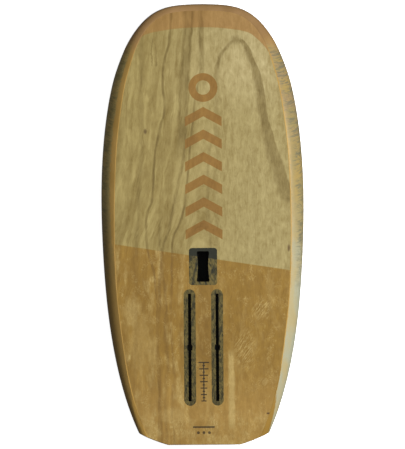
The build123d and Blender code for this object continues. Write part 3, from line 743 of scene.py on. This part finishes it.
def laminate_material(name, forward, behind, cloudy, size, soft):
    """Glass and carbon laminate, paler and mottled where the tint runs over it.

    cloudy picks the mottle's place in the noise, size scales it, and soft blurs its edges.
    """
    m = Maker(name)
    blot = m.noise(m.x / (13.0 * size), m.y / (22.0 * size), detail=5.0, rough=0.62, swirl=0.8,
                   shift=cloudy)
    drag = m.noise((m.x + m.y * 0.6) / (5.0 * size), (m.y - m.x * 0.6) / (30.0 * size),
                   detail=3.0, shift=cloudy + 3.0)
    weave = m.math("SINE", (m.x + m.y) * 2.6) * m.math("SINE", (m.x - m.y) * 2.6)
    tail = tint_mask(m, soft=2.0)[0]
    worn = m.step(0.5 - soft, 0.5 + soft * 0.6, blot * 0.7 + drag * 0.3)
    smudge = m.noise((m.x - m.y * 0.2) / 11.0, m.y / 52.0, detail=3.0, rough=0.55, swirl=0.4,
                     shift=cloudy + 7.0)
    worn = worn * (1.0 - 0.75 * m.step(0.52, 0.68, smudge))
    top = m.mix(tail, forward, m.mix(worn, forward, behind))
    tone = 1.0 + (blot - 0.5) * (0.2 + 0.6 * tail) + (drag - 0.5) * (0.1 + 0.4 * tail)
    tone = tone + weave * 0.05
    top = m.times(top, m.grey(tone))
    rough = 0.38 + (blot - 0.5) * 0.25
    relief = weave * 0.2 + blot * 0.4
    return m.finish(top, rough, relief, depth=0.00012, coat=0.1, coat_rough=0.15, specular=0.35)


def plastic_material(name, colour, rough=0.45, size=1.4, depth=0.00006, worn=0.2,
                     specular=0.5):
    """Moulded plastic with a fine grain, paler where it is rubbed."""
    m = Maker(name)
    grain = m.noise(m.x / size, m.y / size, m.z / size, detail=3.0, rough=0.6)
    rub = m.noise(m.x / 17.0, m.y / 29.0, m.z / 17.0, detail=5.0, rough=0.65, shift=5.0)
    pale = tuple(min(1.0, c * 2.4 + 0.012) for c in colour[:3]) + (1.0,)
    top = m.mix(m.step(0.45, 0.8, rub) * worn, colour, pale)
    top = m.times(top, m.grey(0.9 + grain * 0.2))
    return m.finish(top, rough + (rub - 0.5) * 0.3, grain, depth=depth, specular=specular)


def metal_material():
    """Turned stainless steel, with rings round the vent screw's axis."""
    m = Maker("stainless_turned")
    rings = m.length(m.x, m.y - place_along("vent_screw"))
    turned = m.noise(rings / 0.16, m.z / 0.5, detail=2.0)
    stain = m.noise(m.x / 4.0, m.y / 4.0, m.z / 4.0, detail=4.0, shift=3.0)
    top = m.mix(stain, linear(150, 148, 142), linear(196, 194, 188))
    rough = 0.24 + (turned - 0.5) * 0.2 + (stain - 0.5) * 0.14
    return m.finish(top, rough, turned, depth=0.00002, metal=1.0)


def rubber_material():
    """Black seal rubber with a pale bloom."""
    m = Maker("seal_rubber_black")
    bloom = m.noise(m.x / 2.0, m.y / 2.0, m.z / 2.0, detail=4.0)
    top = m.mix(bloom, linear(22, 22, 23), linear(46, 45, 44))
    return m.finish(top, 0.62 + (bloom - 0.5) * 0.2, bloom, depth=0.00003)


def membrane_material():
    """White felt that lets air through."""
    m = Maker("membrane_white_felt")
    fibre = m.noise(m.x / 0.4, m.y / 0.4, m.z / 0.4, detail=4.0, rough=0.7, swirl=1.5)
    top = m.mix(fibre, linear(205, 206, 204), linear(238, 239, 238))
    return m.finish(top, 0.85, fibre, depth=0.00006)


def bead_foam_material():
    """Moulded polystyrene beads, with darker lines between them."""
    m = Maker("eps_beads_white")
    edge = m.cell_edges(4.2)
    top = m.mix(m.step(0.0, 0.16, edge), linear(196, 200, 202), linear(236, 238, 238))
    return m.finish(top, 0.8, m.step(0.0, 0.3, edge), depth=0.0004)


def fine_foam_material():
    """Dense closed-cell foam."""
    m = Maker("high_density_foam")
    cell = m.noise(m.x / 0.9, m.y / 0.9, m.z / 0.9, detail=3.0, rough=0.7)
    drift = m.noise(m.x / 40.0, m.y / 40.0, m.z / 40.0, detail=2.0, shift=3.0)
    top = m.mix(cell, linear(150, 152, 138), linear(190, 190, 172))
    top = m.times(top, m.grey(0.9 + drift * 0.2))
    return m.finish(top, 0.82, cell, depth=0.0002)


def pad_material():
    """Embossed EVA foam: closed cells, scuffed paler on the tread."""
    m = Maker("eva_foam_charcoal")
    cell = m.noise(m.x / 0.7, m.y / 0.7, m.z / 0.7, detail=3.0, rough=0.7)
    dust = m.noise(m.x / 70.0, m.y / 90.0, m.z / 40.0, detail=5.0, rough=0.6, shift=5.0)
    top = m.mix(m.step(0.35, 0.75, dust), linear(44, 45, 48), linear(64, 64, 66))
    worn = m.step(0.6, 0.15, m.z) * m.step(0.45, 0.7, dust)
    top = m.mix(worn * 0.3, top, linear(96, 95, 92))
    top = m.times(top, m.grey(0.88 + cell * 0.24))
    return m.finish(top, 0.74 + (dust - 0.5) * 0.2, cell, depth=0.00012)


dress(hull_material(), "bottom_skin_left", "bottom_skin_right")
dress(deck_material(), "deck_skin_left", "deck_skin_right")
dress(rail_material(), "rail_left", "rail_right", "nose_block", "tail_block")
handle_laminate = laminate_material("handle_laminate", forward=linear(42, 44, 33),
                                    behind=linear(108, 95, 50), cloudy=3.0, size=1.1, soft=0.20)
track_laminate = laminate_material("track_laminate", forward=linear(44, 43, 27),
                                   behind=linear(104, 92, 48), cloudy=29.0, size=0.7, soft=0.26)
track_plastic = plastic_material("track_plastic_black", linear(16, 15, 8), rough=0.5,
                                 specular=0.15, worn=0.1)
pocket_plastic = plastic_material("pocket_plastic_black", linear(16, 16, 10), rough=0.55,
                                  size=1.8, depth=0.0001, specular=0.15, worn=0.1)
fitting_plastic = plastic_material("fitting_plastic_dark", linear(34, 34, 34), rough=0.46)

dress(handle_laminate, "handle_cover")
dress(track_laminate, "track_patch_left", "track_patch_right")
dress(track_plastic, "foil_track_left", "foil_track_right")
dress(pocket_plastic, "handle_box")
dress(fitting_plastic, "vent_body", "leash_cup", "footstrap_inserts")
dress(metal_material(), "vent_screw", "leash_pin")
dress(rubber_material(), "vent_o_ring")
dress(membrane_material(), "vent_membrane")
dress(bead_foam_material(), "eps_core")
dress(fine_foam_material(), "track_foam_block", "handle_foam_block", "vent_foam_plug",
      "leash_foam_plug", "insert_foam_blocks")


# ---------------------------------------------------------------- the grooved deck pads

GROOVE_PITCH = 18.0 * MM
GROOVE_HALF = 1.7 * MM
GROOVE_DEPTH = 1.6 * MM
GROOVE_NORMALS = [Vector((0.8, 0.6, 0.0)), Vector((0.8, -0.6, 0.0))]
FACE_TOLERANCE = 0.3 * MM
WELD_DISTANCE = 2e-6
CUT_TOLERANCE = 1e-7
FLAT_ANGLE = math.radians(1.0)


def cut_along(work, normal, distance):
    """Adds an edge line to the mesh where it crosses the plane normal . p = distance."""
    everything = list(work.verts) + list(work.edges) + list(work.faces)
    bmesh.ops.bisect_plane(work, geom=everything, dist=CUT_TOLERANCE,
                           plane_co=normal * distance, plane_no=normal)


def cut_grooves(work, normal):
    """Adds the edge lines of every groove of one family: its two rims and its bottom."""
    reach = [normal.dot(vert.co) for vert in work.verts]
    first = math.ceil(min(reach) / GROOVE_PITCH)
    last = math.floor(max(reach) / GROOVE_PITCH)
    for count in range(first, last + 1):
        for offset in (-GROOVE_HALF, 0.0, GROOVE_HALF):
            cut_along(work, normal, count * GROOVE_PITCH + offset)


def groove_depth(point):
    """How deep the grooves are at a point of the tread."""
    depth = 0.0
    for normal in GROOVE_NORMALS:
        place = normal.dot(point) / GROOVE_PITCH
        away = abs(place - round(place)) * GROOVE_PITCH
        depth = max(depth, GROOVE_DEPTH * (1.0 - away / GROOVE_HALF))
    return depth


def grooved_pad(node, material):
    """The pad's foam with a diamond pattern of V grooves pressed into its tread."""
    work = bmesh.new()
    work.from_mesh(NODES[node].data)
    bmesh.ops.remove_doubles(work, verts=work.verts, dist=WELD_DISTANCE)
    bmesh.ops.dissolve_limit(work, angle_limit=FLAT_ANGLE, verts=work.verts, edges=work.edges)
    for normal in GROOVE_NORMALS:
        cut_grooves(work, normal)
    for vert in work.verts:
        if vert.co.z <= FACE_TOLERANCE:
            vert.co.z += groove_depth(vert.co)
    bmesh.ops.triangulate(work, faces=[face for face in work.faces if len(face.verts) > 4])
    mesh = bpy.data.meshes.new(node + "_grooved")
    work.to_mesh(mesh)
    work.free()
    mesh.materials.append(material)
    pad = bpy.data.objects.new(node + "_grooved", mesh)
    bpy.context.collection.objects.link(pad)
    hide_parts(node)
    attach(pad, "board")


foam = pad_material()
for pad_node in ("front_pad_left", "front_pad_right", "rear_pad_left", "rear_pad_right"):
    grooved_pad(pad_node, foam)


# ---------------------------------------------------------------- floor, light and camera

FLOOR_HALF = 40.0
FLOOR_DROP = -0.6 * MM
FLOOR_GLOW = 0.87
WALL_RADIUS = 38.0
WALL_HEIGHT = 60.0
WALL_COLOUR = (0.94, 0.95, 0.96, 1.0)
WALL_GLOW = 0.8

# The picture is FRAME_HEIGHT metres high at the height of the board's outline.
CAMERA_DISTANCE = 12.0
OUTLINE_HEIGHT = 0.05
FRAME_HEIGHT = 1.4775
SENSOR = 36.0
VIEW_OFFSET = (-0.7 * MM, -2.7 * MM)
VIEW_TURN = math.radians(-0.42)

KEY_PLACE = (2.9, 0.5, 3.3)
KEY_TARGET = (0.0, 0.0, 0.1)
KEY_SIZE = 1.3
KEY_POWER = 202.0
KEY_COLOUR = (1.0, 0.985, 0.95)

# The sky's strength rises from "To Min" to "To Max" as a direction nears the bright way.
SKY_COLOUR = (0.97, 0.98, 1.0, 1.0)
SKY_BRIGHT_WAY = (0.55, 0.1, 0.83)
SKY_STRENGTH = {"From Min": -0.15, "From Max": 0.9, "To Min": 0.09, "To Max": 0.36}


def glow(m, colour, strength):
    """Makes a studio surface shine by itself, so that it stays as pale as paper."""
    m.shader.inputs["Emission Color"].default_value = colour
    m.shader.inputs["Emission Strength"].default_value = strength
    return m.material


def add_studio_object(name, mesh):
    """Puts a studio mesh in the scene, where it throws no light on the board."""
    studio = bpy.data.objects.new(name, mesh)
    bpy.context.collection.objects.link(studio)
    studio.visible_diffuse = False
    studio.visible_glossy = False
    return studio


def floor_material():
    """Pale paper with a faint cloudiness."""
    m = Maker("studio_floor_pale")
    cloud = m.noise(m.x / 900.0, m.y / 900.0, detail=3.0)
    m.finish(m.mix(cloud, (0.93, 0.93, 0.93, 1.0), (0.97, 0.97, 0.97, 1.0)), 0.9, specular=0.0)
    return glow(m, PLAIN_WHITE, FLOOR_GLOW)


def backdrop_material():
    """Pale wall paint."""
    m = Maker("studio_backdrop_pale")
    drift = m.noise(m.x / 9000.0, m.y / 9000.0, detail=2.0)
    m.finish((0.9, 0.9, 0.9, 1.0), 0.9 + drift * 0.05, specular=0.0)
    return glow(m, WALL_COLOUR, WALL_GLOW)


def add_floor():
    """A wide pale floor just under the board."""
    half = FLOOR_HALF
    mesh = bpy.data.meshes.new("studio_floor")
    corners = [(-half, -half, 0.0), (half, -half, 0.0), (half, half, 0.0), (-half, half, 0.0)]
    mesh.from_pydata(corners, [], [(0, 1, 2, 3)])
    mesh.materials.append(floor_material())
    floor = add_studio_object("studio_floor", mesh)
    floor.location.z = FLOOR_DROP


def add_backdrop():
    """A pale wall all round, which only the camera sees."""
    work = bmesh.new()
    bmesh.ops.create_cone(work, cap_ends=True, segments=96, radius1=WALL_RADIUS,
                          radius2=WALL_RADIUS, depth=WALL_HEIGHT)
    mesh = bpy.data.meshes.new("studio_backdrop")
    work.to_mesh(mesh)
    work.free()
    mesh.materials.append(backdrop_material())
    wall = add_studio_object("studio_backdrop", mesh)
    wall.visible_shadow = False


def add_key_light():
    """One round softbox high on the right."""
    data = bpy.data.lights.new("key_softbox", "AREA")
    data.shape = "DISK"
    data.size = KEY_SIZE
    data.energy = KEY_POWER
    data.color = KEY_COLOUR
    light = bpy.data.objects.new("key_softbox", data)
    light.location = KEY_PLACE
    aim = Vector(KEY_TARGET) - Vector(KEY_PLACE)
    light.rotation_euler = aim.to_track_quat("-Z", "Y").to_euler()
    bpy.context.collection.objects.link(light)


def add_camera():
    """Straight above the board with a long lens, turned and shifted a little as in the photo."""
    data = bpy.data.cameras.new("camera")
    data.sensor_width = SENSOR
    data.lens = SENSOR * CAMERA_DISTANCE / FRAME_HEIGHT
    data.clip_end = 200.0
    camera = bpy.data.objects.new("camera", data)
    camera.location = (*VIEW_OFFSET, OUTLINE_HEIGHT + CAMERA_DISTANCE)
    camera.rotation_euler = (0.0, 0.0, VIEW_TURN)
    bpy.context.collection.objects.link(camera)
    bpy.context.scene.camera = camera


def add_world():
    """Fill light that is strongest overhead and to the right, as beside a lit wall."""
    world = bpy.data.worlds.new("studio_world")
    world.use_nodes = True
    tree = world.node_tree
    sky = tree.nodes["Background"]
    toward = tree.nodes.new("ShaderNodeTexCoord").outputs["Generated"]
    facing = tree.nodes.new("ShaderNodeVectorMath")
    facing.operation = "DOT_PRODUCT"
    facing.inputs[1].default_value = SKY_BRIGHT_WAY
    tree.links.new(toward, facing.inputs[0])
    spread = tree.nodes.new("ShaderNodeMapRange")
    spread.interpolation_type = "SMOOTHSTEP"
    for limit, value in SKY_STRENGTH.items():
        spread.inputs[limit].default_value = value
    tree.links.new(facing.outputs["Value"], spread.inputs["Value"])
    sky.inputs["Color"].default_value = SKY_COLOUR
    tree.links.new(spread.outputs[0], sky.inputs["Strength"])
    bpy.context.scene.world = world


add_floor()
add_backdrop()
add_world()
add_key_light()
add_camera()
bpy.context.scene.view_settings.view_transform = "Standard"
